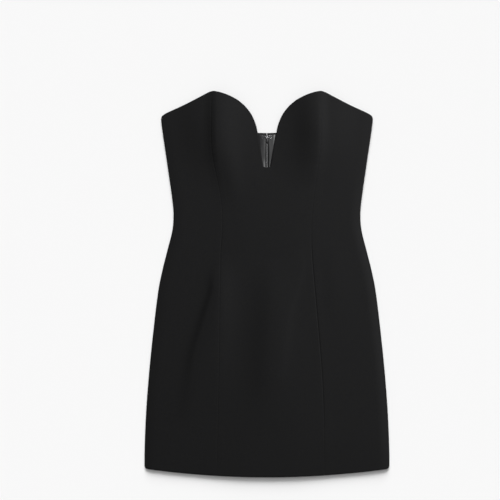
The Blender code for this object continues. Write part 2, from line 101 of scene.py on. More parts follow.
BACK_HEM_SHORT = 0.0010
SEAT_RISE = 0.0017
SEAT_LOW = 0.264
SEAT_HIGH = 0.284
SEAT_FLAT = 0.004
SEAT_REACH = 0.022
SLIDER_Y = 0.2810
SLIDER_SLOT = 0.0013
SLIDER_SLOT_REACH = 0.012
BACK_SEAM = (
    (-0.3765, 0.1180), (-0.1500, 0.1090), (0.0300, 0.0890), (0.1300, 0.0800),
    (0.2000, 0.0860), (0.3300, 0.1020),
)
BACK_SEAM_SINK = 0.0004
BACK_SEAM_WIDTH = 0.0010
PANEL_TOP = 0.45
HALVINGS = 32
RIM_RINGS = 3
# How far the rim of a seamed edge is rounded
SEAMED_EDGE = 0.00012
# Columns crowd towards one seam of a panel by this power
CREPE_SPREAD = 1.5


def curve_through(rows):
    """Smooth curve through (at, value) rows, level beyond its ends."""
    at, value = np.array(rows, float).T
    slope = np.empty_like(value)
    slope[1:-1] = (value[2:] - value[:-2]) / (at[2:] - at[:-2])
    slope[0] = (value[1] - value[0]) / (at[1] - at[0])
    slope[-1] = (value[-1] - value[-2]) / (at[-1] - at[-2])

    def curve(x):
        x = np.clip(x, at[0], at[-1])
        i = np.clip(np.searchsorted(at, x, side="right") - 1, 0, len(at) - 2)
        span = at[i + 1] - at[i]
        t = (x - at[i]) / span
        rise = value[i] * (2 * t**3 - 3 * t**2 + 1) + value[i + 1] * (3 * t**2 - 2 * t**3)
        return rise + span * (slope[i] * (t**3 - 2 * t**2 + t) + slope[i + 1] * (t**3 - t**2))

    return curve


def ease(value):
    """0 below 0, 1 above 1 and smooth between."""
    value = np.clip(value, 0.0, 1.0)
    return value * value * (3.0 - 2.0 * value)


def bell(distance, width):
    """1 at no distance, falling away smoothly on both sides."""
    return np.exp(-((distance / width) ** 2))


side_edge = curve_through(SIDE_OUTLINE)
back_seam = curve_through(BACK_SEAM)


def hem_edge(x):
    """Height of the hem: a shallow curve with round corners."""
    inset = np.maximum(HEM_CORNER - (side_edge(HEM_CENTRE) - np.abs(x)), 0.0)
    corner = HEM_CORNER - np.sqrt(np.maximum(HEM_CORNER**2 - inset**2, 0.0))
    return HEM_CENTRE + HEM_RISE * (x / HEM_RISE_AT) ** 2 + corner


def back_top(x):
    """Height of the back's top edge, which climbs to the side seams."""
    out = np.minimum(np.abs(x) / BACK_TOP_HALF, 1.0)
    return BACK_TOP_CENTRE + BACK_TOP_RISE * out**BACK_TOP_CURVE


def seat_rise(x, y):
    """How far the back lifts off the surface over the zip's pull."""
    distance = np.hypot(x, y - np.clip(y, SEAT_LOW, SEAT_HIGH))
    return SEAT_RISE * ease(1.0 - (distance - SEAT_FLAT) / SEAT_REACH)


def meet(edge, x_at, low, high):
    """Height between low and high where each column, x_at(y), reaches an edge."""
    for _ in range(HALVINGS):
        middle = (low + high) / 2
        under = edge(x_at(middle)) > middle
        low = np.where(under, middle, low)
        high = np.where(under, high, middle)
    return (low + high) / 2


def unit(vectors):
    """The same directions, each with a length of 1."""
    return vectors / np.linalg.norm(vectors, axis=-1, keepdims=True)


def grid_faces(ids):
    """Quads over an array of vertex numbers."""
    return np.stack([ids[:-1, :-1], ids[:-1, 1:], ids[1:, 1:], ids[1:, :-1]], -1).reshape(-1, 4)


def grid_rim(ids):
    """Vertex numbers round a grid, in the order of its faces."""
    return np.concatenate([ids[0], ids[1:, -1], ids[-1, -2::-1], ids[-2:0:-1, 0]])


def add_shell(name, skin, out, faces, rim, thick, bulge, finishes, lined=None):
    """Closed cloth: a skin, its other side, and a rounded rim. out holds the skin's normals."""
    count = len(skin)
    edge, edge_out = skin[rim], out[rim]
    ahead = np.roll(edge, -1, 0) - np.roll(edge, 1, 0)
    beyond = unit(np.cross(ahead, edge_out))
    rings = []
    for angle in np.pi * np.arange(1, RIM_RINGS + 1) / (RIM_RINGS + 1):
        middle = edge - edge_out * thick / 2
        round_edge = edge_out * math.cos(angle) * thick / 2
        round_edge = round_edge + beyond * math.sin(angle) * np.reshape(bulge, (-1, 1))
        rings.append(middle + round_edge)
    points = np.vstack([skin, skin - out * thick, *rings])
    loops = [rim]
    loops += [2 * count + len(rim) * k + np.arange(len(rim)) for k in range(RIM_RINGS)]
    loops.append(rim + count)
    strips = [
        np.stack([a, b, np.roll(b, -1), np.roll(a, -1)], -1)
        for a, b in zip(loops[:-1], loops[1:])
    ]
    quads = np.vstack([faces, faces[:, ::-1] + count, *strips])
    mesh = bpy.data.meshes.new(name)
    mesh.from_pydata(points.tolist(), [], quads.tolist())
    for finish in finishes:
        mesh.materials.append(finish)
    if lined is not None:
        inner = np.zeros(len(quads), np.int32)
        inner[len(faces) : 2 * len(faces)] = lined
        mesh.polygons.foreach_set("material_index", inner)
    mesh.polygons.foreach_set("use_smooth", np.ones(len(quads), bool))
    mesh.update()
    piece = bpy.data.objects.new(name, mesh)
    bpy.context.scene.collection.objects.link(piece)
    return piece


def add_grid_shell(name, skin, out, thick, bulge, finishes, lined=None):
    """add_shell over a grid of points, turned so that its faces look along out."""
    ids = np.arange(skin.shape[0] * skin.shape[1]).reshape(skin.shape[:2])
    r, c = skin.shape[0] // 2, skin.shape[1] // 2
    facing = np.cross(skin[r, c + 1] - skin[r, c], skin[r + 1, c] - skin[r, c]) @ out[r, c]
    if facing < 0:
        ids = ids[:, ::-1]
    faces = grid_faces(ids)
    if lined is not None:
        lined = lined.reshape(-1)[faces[:, 0]]
    rim = grid_rim(ids)
    if np.ndim(bulge):
        bulge = bulge.reshape(-1)[rim]
    points, out = skin.reshape(-1, 3), out.reshape(-1, 3)
    return add_shell(name, points, out, faces, rim, thick, bulge, finishes, lined)


def add_node(material, kind, **settings):
    """Add a shader node. Settings are its own, or values for its sockets."""
    node = material.node_tree.nodes.new("ShaderNode" + kind)
    for key, value in settings.items():
        socket = key.replace("_", " ").title()
        if hasattr(node, key):
            setattr(node, key, value)
        else:
            node.inputs[socket].default_value = value
    return node


def add_finish(name, colour, roughness, metallic=0.0):
    """A material, and its shader with the values that are the same all over."""
    material = bpy.data.materials.new(name)
    material.use_nodes = True
    shader = material.node_tree.nodes["Principled BSDF"]
    shader.inputs["Base Color"].default_value = (*colour, 1.0)
    shader.inputs["Roughness"].default_value = roughness
    shader.inputs["Metallic"].default_value = metallic
    return material, shader


TONE_LOW_AT = 0.3
TONE_HIGH_AT = 0.7


def add_tone(material, shader, height, low, high):
    """Colour that follows a height, from a low to a high colour."""
    links = material.node_tree.links
    ramp = add_node(material, "ValToRGB")
    ramp.color_ramp.elements[0].position = TONE_LOW_AT
    ramp.color_ramp.elements[0].color = (*low, 1.0)
    ramp.color_ramp.elements[1].position = TONE_HIGH_AT
    ramp.color_ramp.elements[1].color = (*high, 1.0)
    links.new(height, ramp.inputs["Fac"])
    links.new(ramp.outputs["Color"], shader.inputs["Base Color"])


def add_relief(material, shader, height, depth, strength):
    """Bump of a real depth in metres."""
    links = material.node_tree.links
    bump = add_node(material, "Bump", distance=depth, strength=strength)
    links.new(height, bump.inputs["Height"])
    links.new(bump.outputs["Normal"], shader.inputs["Normal"])


CREPE_DARK = (0.0036, 0.0036, 0.0038)
CREPE_LIGHT = (0.0089, 0.0089, 0.0092)
CREPE_GRAIN = 1100.0
CREPE_GRAIN_DEPTH = 0.00012
PEBBLE_GRAIN = 880.0
PEBBLE_SHARE = -0.35


def add_crepe():
    """Matt crepe: twisted yarns that leave a fine pebbled grain, with a little fuzz."""
    material, shader = add_finish("crepe", CREPE_DARK, 0.88)
    shader.inputs["Specular IOR Level"].default_value = 0.10
    shader.inputs["Sheen Weight"].default_value = 0.03
    shader.inputs["Sheen Roughness"].default_value = 0.5
    links = material.node_tree.links
    place = add_node(material, "TexCoord")
    grain = add_node(material, "TexNoise", scale=CREPE_GRAIN, detail=3.0, roughness=0.62)
    pebble = add_node(material, "TexVoronoi", scale=PEBBLE_GRAIN)
    both = add_node(material, "Math", operation="MULTIPLY_ADD")
    for texture in (grain, pebble):
        links.new(place.outputs["Object"], texture.inputs["Vector"])
    links.new(pebble.outputs["Distance"], both.inputs[0])
    both.inputs[1].default_value = PEBBLE_SHARE
    links.new(grain.outputs["Fac"], both.inputs[2])
    add_tone(material, shader, grain.outputs["Fac"], CREPE_DARK, CREPE_LIGHT)
    add_relief(material, shader, both.outputs["Value"], depth=CREPE_GRAIN_DEPTH, strength=0.8)
    return material


crepe = add_crepe()
BACK_COLUMNS = 56
ROLL_COLUMNS = 7
BACK_ROWS = 150


def back_skin(side):
    """Points and normals of a back panel's right side, which faces down."""
    across = np.linspace(0.0, 1.0, BACK_COLUMNS + 1) ** CREPE_SPREAD
    turn = np.linspace(0.0, np.pi / 2, ROLL_COLUMNS + 1)[1:]
    u = np.concatenate([across, np.ones(ROLL_COLUMNS)])
    roll = np.concatenate([np.zeros(BACK_COLUMNS + 1), turn])

    def x_at(y):
        inner = SEAM_GAP / 2 + SLIDER_SLOT * bell(y - SLIDER_Y, SLIDER_SLOT_REACH)
        return inner + (side_edge(y) - SIDE_ROLL - inner) * u + SIDE_ROLL * np.sin(roll)

    low = meet(hem_edge, x_at, np.full(u.shape, -PANEL_TOP), np.zeros(u.shape)) + BACK_HEM_SHORT
    high = meet(back_top, x_at, np.zeros(u.shape), np.full(u.shape, PANEL_TOP))
    v = np.linspace(0.0, 1.0, BACK_ROWS + 1)[:, None]
    y = low + (high - low) * v
    x = x_at(y)
    groove = BACK_SEAM_SINK * bell(x - back_seam(y), BACK_SEAM_WIDTH) * (u < 1.0)
    z = seat_rise(x, y) + ROLL_HEIGHT * (1.0 - np.cos(roll)) + groove
    skin = np.stack([side * x, y, z], -1)
    down = np.stack([side * np.sin(roll) + 0 * y, 0 * y, -np.cos(roll) + 0 * y], -1)
    return skin, down


for side, end in ((-1, "left"), (1, "right")):
    skin, down = back_skin(side)
    panel = add_grid_shell("back_panel_" + end, skin, down, CREPE_THICK, SEAMED_EDGE, [crepe])
    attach(panel, "dress")
    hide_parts("back_" + end)


# Zip
# A concealed nylon coil zip, sewn to the back edges so that its coil lies on the inside. Two
# woven tapes carry the closed coil.
ZIP_END = -0.100
ZIP_TOP = 0.2915
TAPE_THICK = 0.0008
TAPE_INNER = 0.0012
TAPE_OUTER = 0.0112
TAPE_EDGE = 0.0002
TAPE_COLUMNS = 8
TAPE_ROWS = 130
COIL_TOP = 0.2757
COIL_END_ROOM = 0.001
COIL_PITCH = 0.0012
COIL_HALF = 0.0015
COIL_INSET = 0.0003
COIL_OVERLAP = 0.0002
COIL_LEAN = 0.0002
COIL_RISE = 0.0019
COIL_WIRE = 0.00032
COIL_SIDES = 5
LOOP_POINTS = 7


def zip_base(x, y):
    """Height of the tape's underside, on the back."""
    return CREPE_THICK + SEAM_GAP + seat_rise(x, y)


def add_tape_cloth():
    """Woven tape with fine cross ribs."""
    material, shader = add_finish("zip_tape", (0.012, 0.012, 0.013), 0.75)
    shader.inputs["Specular IOR Level"].default_value = 0.25
    links = material.node_tree.links
    place = add_node(material, "TexCoord")
    rib = add_node(material, "TexWave", bands_direction="Y", scale=420.0, distortion=0.6)
    links.new(place.outputs["Object"], rib.inputs["Vector"])
    add_tone(material, shader, rib.outputs["Fac"], (0.009, 0.009, 0.010), (0.018, 0.018, 0.019))
    add_relief(material, shader, rib.outputs["Fac"], depth=0.00012, strength=0.7)
    return material


tape_cloth = add_tape_cloth()
for side, end in ((-1, "left"), (1, "right")):
    x = np.linspace(TAPE_INNER, TAPE_OUTER, TAPE_COLUMNS + 1)[None, :]
    y = np.linspace(ZIP_END, ZIP_TOP, TAPE_ROWS + 1)[:, None]
    z = zip_base(x, y) + TAPE_THICK + 0 * y
    skin = np.stack([side * x + 0 * y, y + 0 * x, z], -1)
    up = np.zeros_like(skin)
    up[..., 2] = 1.0
    tape = add_grid_shell("zip_tape_cloth_" + end, skin, up, TAPE_THICK, TAPE_EDGE, [tape_cloth])
    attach(tape, "dress")
    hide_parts("zip_tape_" + end)


def add_tubes(name, paths, radius, sides, finish):
    """One mesh of round wires, each swept along its own points and closed at both ends."""
    points, faces = [], []
    turns = 2 * np.pi * np.arange(sides) / sides
    for path in paths:
        path = np.asarray(path, float)
        ahead = unit(np.gradient(path, axis=0))
        helper = np.where(np.abs(ahead[:, 2:]) < 0.9, [[0.0, 0.0, 1.0]], [[1.0, 0.0, 0.0]])
        left = unit(np.cross(helper, ahead))
        top = np.cross(ahead, left)
        ring = left[:, None] * np.cos(turns)[None, :, None]
        ring = ring + top[:, None] * np.sin(turns)[None, :, None]
        start = len(points)
        points += (path[:, None] + radius * ring).reshape(-1, 3).tolist()
        for k in range(len(path) - 1):
            for s in range(sides):
                a, b = start + k * sides + s, start + k * sides + (s + 1) % sides
                faces.append((a, b, b + sides, a + sides))
        faces.append(tuple(start + s for s in reversed(range(sides))))
        faces.append(tuple(start + (len(path) - 1) * sides + s for s in range(sides)))
    mesh = bpy.data.meshes.new(name)
    mesh.from_pydata(points, [], faces)
    mesh.polygons.foreach_set("use_smooth", np.ones(len(faces), bool))
    mesh.materials.append(finish)
    piece = bpy.data.objects.new(name, mesh)
    bpy.context.scene.collection.objects.link(piece)
    return piece


def add_nylon_with_painted_highlight():
    """Moulded nylon, slightly glossy, with faint draw lines; its light grey colour is a painted
    highlight along the coil.
    """
    # Painted highlight: these colours, and the tone below, are a light grey far lighter than black
    # nylon, so that the coil shows as a light line.
    material, shader = add_finish("zip_coil", (0.180, 0.180, 0.184), 0.3)
    links = material.node_tree.links
    place = add_node(material, "TexCoord")
    haze = add_node(material, "TexNoise", scale=1500.0, detail=2.0)
    links.new(place.outputs["Object"], haze.inputs["Vector"])
    add_tone(material, shader, haze.outputs["Fac"], (0.150, 0.150, 0.154), (0.230, 0.230, 0.235))
    add_relief(material, shader, haze.outputs["Fac"], depth=0.00002, strength=0.5)
    return material


coil_loops = []
for side in (-1, 1):
    start = ZIP_END + COIL_END_ROOM + (COIL_PITCH / 2 if side > 0 else 0.0)
    for y in np.arange(start, COIL_TOP - COIL_END_ROOM, COIL_PITCH):
        bend = np.linspace(0.0, np.pi, LOOP_POINTS)
        x = side * (COIL_HALF - COIL_INSET - (COIL_HALF + COIL_OVERLAP) * np.sin(bend))
        z = zip_base(0.0, y) + COIL_WIRE + (COIL_RISE - 2 * COIL_WIRE) * (1 - np.cos(bend)) / 2
        coil_loops.append(np.stack([x, y + COIL_LEAN * np.cos(bend), z], -1))
coil = add_tubes("zip_coil", coil_loops, COIL_WIRE, COIL_SIDES, add_nylon_with_painted_highlight())
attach(coil, "dress")
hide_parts("zip_chain")


# Slider and pull
# A small die cast slider in black enamel, with its body on the inside and a narrow neck
# through the seam. The pull tab hangs from the neck's pin on the outside, under the back.
PULL_PIVOT_Z = 0.0008
SLIDER_HALF = 0.0025
SLIDER_WAIST = 0.74
SLIDER_NOSE = 0.7
SLIDER_FLARE = 0.0012
SLIDER_CORNER = 0.0010
SLIDER_LOW = 0.2762
SLIDER_HIGH = 0.2848
SLIDER_DEPTH = 0.0021
SLIDER_BASE = CREPE_THICK + SEAM_GAP + TAPE_THICK + SEAM_GAP + SEAT_RISE
NECK_HALF_WIDTH = 0.00045
NECK_HALF_LENGTH = 0.0009
NECK_OVERLAP = 0.0004
PIN_RADIUS = 0.00030
PIN_HEAD_RADIUS = 0.00068
PIN_HEAD_LENGTH = 0.00035
PIN_HALF = 0.0026
PULL_LENGTH = 0.0190
PULL_HALF = 0.00195
PULL_DEPTH = 0.0008
PULL_TOP_DROP = 0.0013
PULL_WAIST = 0.86
PULL_WAIST_DROP = 0.0080
EAR_RADIUS = 0.00072
EAR_HOLE = 0.00050
EAR_INNER = 0.00075
EAR_SIDES = 28
ARM_DROP = 0.0017


def add_enamel():
    """Black enamel over metal, worn to a softer shine in fine patches."""
    material, shader = add_finish("dark_metal", (0.030, 0.030, 0.032), 0.35, 0.6)
    shader.inputs["Coat Weight"].default_value = 0.3
    links = material.node_tree.links
    place = add_node(material, "TexCoord")
    wear = add_node(material, "TexNoise", scale=700.0, detail=4.0)
    links.new(place.outputs["Object"], wear.inputs["Vector"])
    add_tone(material, shader, wear.outputs["Fac"], (0.022, 0.022, 0.024), (0.050, 0.050, 0.052))
    add_relief(material, shader, wear.outputs["Fac"], depth=0.00002, strength=0.4)
    return material


def add_solid(name, outline, low, high, bevel, finish):
    """A plate of an outline in X and Y, from a low to a high Z, with rounded edges."""
    count = len(outline)
    points = [(x, y, low) for x, y in outline] + [(x, y, high) for x, y in outline]
    faces = [tuple(reversed(range(count))), tuple(range(count, 2 * count))]
    faces += [(k, (k + 1) % count, count + (k + 1) % count, count + k) for k in range(count)]
    mesh = bpy.data.meshes.new(name)
    mesh.from_pydata(points, [], faces)
    mesh.materials.append(finish)
    piece = bpy.data.objects.new(name, mesh)
    bpy.context.scene.collection.objects.link(piece)
    soften = piece.modifiers.new("rounded edges", "BEVEL")
    soften.width = bevel
    soften.segments = 3
    soften.limit_method = "ANGLE"
    mesh.shade_smooth()
    return piece


def box_outline(low_x, high_x, low_y, high_y):
    """Four corners in X and Y."""
    return [(low_x, low_y), (high_x, low_y), (high_x, high_y), (low_x, high_y)]


enamel = add_enamel()
waist, nose = SLIDER_HALF * SLIDER_WAIST, SLIDER_HALF * SLIDER_NOSE
middle_y = (SLIDER_LOW + SLIDER_HIGH) / 2
flare_low, flare_high = middle_y - SLIDER_FLARE, middle_y + SLIDER_FLARE
corner_y = SLIDER_HIGH - SLIDER_CORNER
slider_outline = [
    (-waist, SLIDER_LOW), (waist, SLIDER_LOW), (waist, flare_low),
    (SLIDER_HALF, flare_high), (SLIDER_HALF, corner_y), (nose, SLIDER_HIGH),
    (-nose, SLIDER_HIGH), (-SLIDER_HALF, corner_y), (-SLIDER_HALF, flare_high),
    (-waist, flare_low),
]
slider_top = SLIDER_BASE + SLIDER_DEPTH
slider = add_solid("slider_body", slider_outline, SLIDER_BASE, slider_top, 0.0005, enamel)
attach(slider, "dress")
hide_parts("zip_slider")
neck_outline = box_outline(
    -NECK_HALF_WIDTH, NECK_HALF_WIDTH, SLIDER_Y - NECK_HALF_LENGTH, SLIDER_Y + NECK_HALF_LENGTH
)
neck_low, neck_high = PULL_PIVOT_Z - NECK_OVERLAP, SLIDER_BASE + NECK_OVERLAP
neck = add_solid("slider_neck", neck_outline, neck_low, neck_high, 0.00012, enamel)
pin_line = [(x, SLIDER_Y, PULL_PIVOT_Z) for x in np.linspace(-PIN_HALF, PIN_HALF, 5)]
pin = add_tubes("slider_pin", [pin_line], PIN_RADIUS, 16, enamel)
heads = [
    [(side * x, SLIDER_Y, PULL_PIVOT_Z) for x in (PIN_HALF - PIN_HEAD_LENGTH, PIN_HALF)]
    for side in (-1, 1)
]
pin_heads = add_tubes("slider_pin_heads", heads, PIN_HEAD_RADIUS, 20, enamel)
for piece in (neck, pin, pin_heads):
    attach(piece, "dress")


def pull_outline():
    """Tab with a slight waist and a round end, as points from the left of that end round."""
    end_y = SLIDER_Y - PULL_LENGTH + PULL_HALF
    turn = np.linspace(np.pi, 2 * np.pi, 17)
    tip = [(PULL_HALF * math.cos(a), end_y + PULL_HALF * math.sin(a)) for a in turn]
    top, waist_y = SLIDER_Y - PULL_TOP_DROP, SLIDER_Y - PULL_WAIST_DROP
    waist_x = PULL_HALF * PULL_WAIST
    return tip + [(waist_x, waist_y), (PULL_HALF, top), (-PULL_HALF, top), (-waist_x, waist_y)]


pull_low, pull_high = PULL_PIVOT_Z - PULL_DEPTH / 2, PULL_PIVOT_Z + PULL_DEPTH / 2
pull = add_solid("pull_tab", pull_outline(), pull_low, pull_high, 0.00018, enamel)
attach(pull, "pull")
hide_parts("zip_pull")


def add_ear(name, low_x, high_x):
    """A ring round the pin, and the arm that joins it to the tab."""
    turn = 2 * np.pi * np.arange(EAR_SIDES) / EAR_SIDES
    ear = bpy.data.meshes.new(name)
    points, faces = [], []
    rings = (low_x, EAR_RADIUS), (high_x, EAR_RADIUS), (high_x, EAR_HOLE), (low_x, EAR_HOLE)
    for x, radius in rings:
        for a in turn:
            y, z = SLIDER_Y + radius * math.cos(a), PULL_PIVOT_Z + radius * math.sin(a)
            points.append((x, y, z))
    for k in range(4):
        for s in range(EAR_SIDES):
            a, b, beside = EAR_SIDES * k, EAR_SIDES * ((k + 1) % 4), (s + 1) % EAR_SIDES
            faces.append((a + s, b + s, b + beside, a + beside))
    ear.from_pydata(points, [], faces)
    ear.materials.append(enamel)
    piece = bpy.data.objects.new(name, ear)
    bpy.context.scene.collection.objects.link(piece)
    arm_outline = box_outline(low_x, high_x, SLIDER_Y - ARM_DROP, SLIDER_Y - EAR_HOLE)
    arm = add_solid(name + "_arm", arm_outline, pull_low, pull_high, 0.0001, enamel)
    for part in (piece, arm):
        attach(part, "pull")


add_ear("pull_ear_left", -PULL_HALF, -EAR_INNER)
add_ear("pull_ear_right", EAR_INNER, PULL_HALF)


# Back lining
# Two panels of black satin inside the back, sewn along the top edge and the tapes and
# loose below. They lie on the back and the tapes, with soft creases down their length.
SATIN_THICK = 0.0010
LINING_INNER = 0.0032
LINING_SIDE_INSET = 0.0075
LINING_TOP_DROP = 0.0036
LINING_HEM_DROP = 0.025
LINING_STEP_END = 0.020
LINING_STEP = 0.007
LINING_COLUMNS = 60
LINING_ROWS = 140
LINING_SPREAD = 1.6
SATIN_EDGE = 0.0004
# Creases in the lining: height along the dress, place of the crest, rise, reach of each flank
LINING_CREASES = (
    (
        (0.2840, -0.0075, 0.0000, 0.0100, 0.0090), (0.2775, -0.0075, 0.0008, 0.0100, 0.0090),
        (0.2700, -0.0080, 0.0007, 0.0090, 0.0090), (0.2600, -0.0090, 0.0000, 0.0080, 0.0090),
    ),
    (
        (0.2760, -0.0140, 0.0000, 0.0050, 0.0060), (0.2640, -0.0134, 0.0008, 0.0050, 0.0060),
        (0.2450, -0.0124, 0.0011, 0.0045, 0.0058), (0.2250, -0.0112, 0.0011, 0.0045, 0.0056),
        (0.0500, -0.0100, 0.0004, 0.0050, 0.0050), (-0.2600, -0.0120, 0.0000, 0.0060, 0.0060),
    ),
    (
        (0.2780, -0.0060, 0.0000, 0.0014, 0.0012), (0.2580, -0.0064, 0.0002, 0.0014, 0.0012),
        (0.2200, -0.0058, 0.0003, 0.0014, 0.0012), (0.1000, -0.0060, 0.0000, 0.0016, 0.0016),
    ),
    (
        (0.2800, 0.0052, 0.0000, 0.0018, 0.0030), (0.2600, 0.0048, 0.0003, 0.0016, 0.0036),
        (0.2450, 0.0042, 0.0007, 0.0014, 0.0046), (0.2200, 0.0038, 0.0008, 0.0012, 0.0048),
        (0.0400, 0.0060, 0.0000, 0.0020, 0.0040),
    ),
    (
        (0.2940, 0.0165, 0.0006, 0.0060, 0.0040), (0.2700, 0.0138, 0.0006, 0.0055, 0.0040),
        (0.2500, 0.0115, 0.0004, 0.0045, 0.0040), (0.2300, 0.0100, 0.0000, 0.0040, 0.0040),
    ),
    (
        (0.2900, -0.0560, 0.0000, 0.0120, 0.0160), (0.2000, -0.0500, 0.0005, 0.0120, 0.0160),
        (0.0000, -0.0620, 0.0006, 0.0140, 0.0180), (-0.2500, -0.0700, 0.0000, 0.0160, 0.0200),
    ),
    (
        (0.2600, 0.0700, 0.0000, 0.0160, 0.0120), (0.1200, 0.0640, 0.0006, 0.0150, 0.0120),
        (-0.0800, 0.0760, 0.0006, 0.0180, 0.0140), (-0.3000, 0.0820, 0.0000, 0.0200, 0.0160),
    ),
)


def read_creases(tables):
    """Each crease's crest, rise and reach as curves of the height along the dress."""
    return [
        [curve_through([(row[0], row[k]) for row in sorted(rows)]) for k in range(1, 5)]
        for rows in tables
    ]


def crease_rise(creases, x, y):
    """Height that a list of creases adds at x, y."""
    total = 0.0 * x
    for crest, rise, left, right in creases:
        off = x - crest(y)
        total = total + rise(y) * bell(off, np.where(off > 0, right(y), left(y)))
    return total


def lining_base(x, y):
    """Height of the lining's underside, which steps down from the tape to the back."""
    over_tape = ease((LINING_STEP_END - np.abs(x)) / LINING_STEP)
    return CREPE_THICK + SEAM_GAP + (TAPE_THICK + SEAM_GAP) * over_tape + seat_rise(x, y)


def add_satin():
    """Satin with a soft sheen and fine lengthwise yarns."""
    material, shader = add_finish("satin", (0.011, 0.011, 0.012), 0.45)
    shader.inputs["Specular IOR Level"].default_value = 0.6
    links = material.node_tree.links
    place = add_node(material, "TexCoord")
    stretch = add_node(material, "Mapping")
    stretch.inputs["Scale"].default_value = (1.0, 0.12, 1.0)
    yarn = add_node(material, "TexNoise", scale=1800.0, detail=2.0)
    links.new(place.outputs["Object"], stretch.inputs["Vector"])
    links.new(stretch.outputs["Vector"], yarn.inputs["Vector"])
    add_tone(material, shader, yarn.outputs["Fac"], (0.008, 0.008, 0.009), (0.015, 0.015, 0.016))
    add_relief(material, shader, yarn.outputs["Fac"], depth=0.00004, strength=0.5)
    return material


satin = add_satin()
lining_creases = read_creases(LINING_CREASES)
for side, end in ((-1, "left"), (1, "right")):
    u = np.linspace(0.0, 1.0, LINING_COLUMNS + 1) ** LINING_SPREAD

    def x_at(y):
        return LINING_INNER + (side_edge(y) - LINING_SIDE_INSET - LINING_INNER) * u

    low = meet(hem_edge, x_at, np.full(u.shape, -PANEL_TOP), np.zeros(u.shape)) + LINING_HEM_DROP
    high = meet(back_top, x_at, np.zeros(u.shape), np.full(u.shape, PANEL_TOP)) - LINING_TOP_DROP
    y = low + (high - low) * np.linspace(0.0, 1.0, LINING_ROWS + 1)[:, None]
    x = x_at(y)
    z = lining_base(x, y) + SATIN_THICK + crease_rise(lining_creases, side * x, y)
    skin = np.stack([side * x, y, z], -1)
    up = np.zeros_like(skin)
    up[..., 2] = 1.0
    panel = add_grid_shell("lining_panel_" + end, skin, up, SATIN_THICK, SATIN_EDGE, [satin])
    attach(panel, "dress")
    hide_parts("lining_" + end)


# Hook and eye
# Bent nickel plated wire, sewn to the lining just above the zip with black thread through
# the round rings at each end.
WIRE_RADIUS = 0.00035
WIRE_SIDES = 12
HOOK_Y = 0.2876
HOOK_BACK = -0.0098
HOOK_TIP = 0.0006
HOOK_RETURN = 0.0036
HOOK_RISE = 0.0021
SHANK_HALF = 0.00055
RING_RADIUS = 0.0013
RING_TURN = math.radians(280)
EYE_BACK = 0.0076
EYE_TIP = -0.0010
EYE_HALF = 0.0016
EYE_NOSE_FOOT = 0.0042


def sewing_ring(centre_x, centre_y, backward):
    """An open ring at a wire's end, which the thread goes through."""
    turn = -np.pi / 2 - backward * RING_TURN * (1.0 - np.linspace(0.0, 1.0, 19))
    return [
        (centre_x + RING_RADIUS * math.cos(a), centre_y + RING_RADIUS * math.sin(a), 0.0)
        for a in turn
    ]


def lay_wire(half):
    """Both halves of a wire as one line, laid on the lining."""
    line = half + [(x, -y, z) for x, y, z in reversed(half)]
    return [
        (x, HOOK_Y + y, lining_base(x, HOOK_Y + y) + SATIN_THICK + SEAM_GAP + WIRE_RADIUS + z)
        for x, y, z in line
    ]


def add_nickel():
    """Nickel plated wire with faint draw marks."""
    material, shader = add_finish("wire", (0.42, 0.42, 0.43), 0.3, 1.0)
    links = material.node_tree.links
    place = add_node(material, "TexCoord")
    marks = add_node(material, "TexNoise", scale=2200.0, detail=2.0)
    links.new(place.outputs["Object"], marks.inputs["Vector"])
    add_tone(material, shader, marks.outputs["Fac"], (0.36, 0.36, 0.37), (0.50, 0.50, 0.51))
    add_relief(material, shader, marks.outputs["Fac"], depth=0.00001, strength=0.5)
    return material


nickel = add_nickel()
hook_half = sewing_ring(HOOK_BACK, SHANK_HALF + RING_RADIUS, 1)
for a in np.linspace(-np.pi / 2, np.pi / 2, 11):
    x, z = HOOK_TIP + HOOK_RISE / 2 * math.cos(a), HOOK_RISE / 2 * (1 + math.sin(a))
    hook_half.append((x, SHANK_HALF, z))
hook_half.append((HOOK_TIP - HOOK_RETURN, SHANK_HALF, HOOK_RISE))
eye_half = sewing_ring(EYE_BACK, EYE_HALF + RING_RADIUS, -1)
eye_half.append((EYE_NOSE_FOOT, EYE_HALF, 0.0))
for a in np.linspace(np.pi / 2, np.pi, 9)[:-1]:
    x, y = EYE_TIP + EYE_HALF + EYE_HALF * math.cos(a), EYE_HALF * math.sin(a)
    eye_half.append((x, y, HOOK_RISE / 2))
for name, node, half in (("hook_wire", "hook", hook_half), ("eye_wire", "eye", eye_half)):
    wire = add_tubes(name, [lay_wire(half)], WIRE_RADIUS, WIRE_SIDES, nickel)
    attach(wire, "dress")
    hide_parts(node)
THREAD_RADIUS = 0.00013
THREAD_SIDES = 6
THREAD_SLACK = 1.15
THREAD_ANGLES = (-0.5, -0.15, 0.2, 1.4, 1.75, 2.1)
stitches = []
for ring_x, ring_y, outward in (
    (HOOK_BACK, SHANK_HALF + RING_RADIUS, -1), (EYE_BACK, EYE_HALF + RING_RADIUS, 1),
):
    for side in (-1, 1):
        for angle in THREAD_ANGLES:
            across = (outward * math.cos(angle), side * math.sin(angle))
            arch = []
            for turn in np.linspace(0.0, np.pi, 9):
                reach = RING_RADIUS - (WIRE_RADIUS + THREAD_RADIUS) * THREAD_SLACK * math.cos(turn)
                x, y = ring_x + reach * across[0], HOOK_Y + side * ring_y + reach * across[1]
                rise = (2 * WIRE_RADIUS + SEAM_GAP + THREAD_RADIUS) * math.sin(turn)
                arch.append((x, y, lining_base(x, y) + SATIN_THICK + rise))
            stitches.append(arch)
sewing = add_tubes("hook_and_eye_sewing", stitches, THREAD_RADIUS, THREAD_SIDES, tape_cloth)
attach(sewing, "dress")


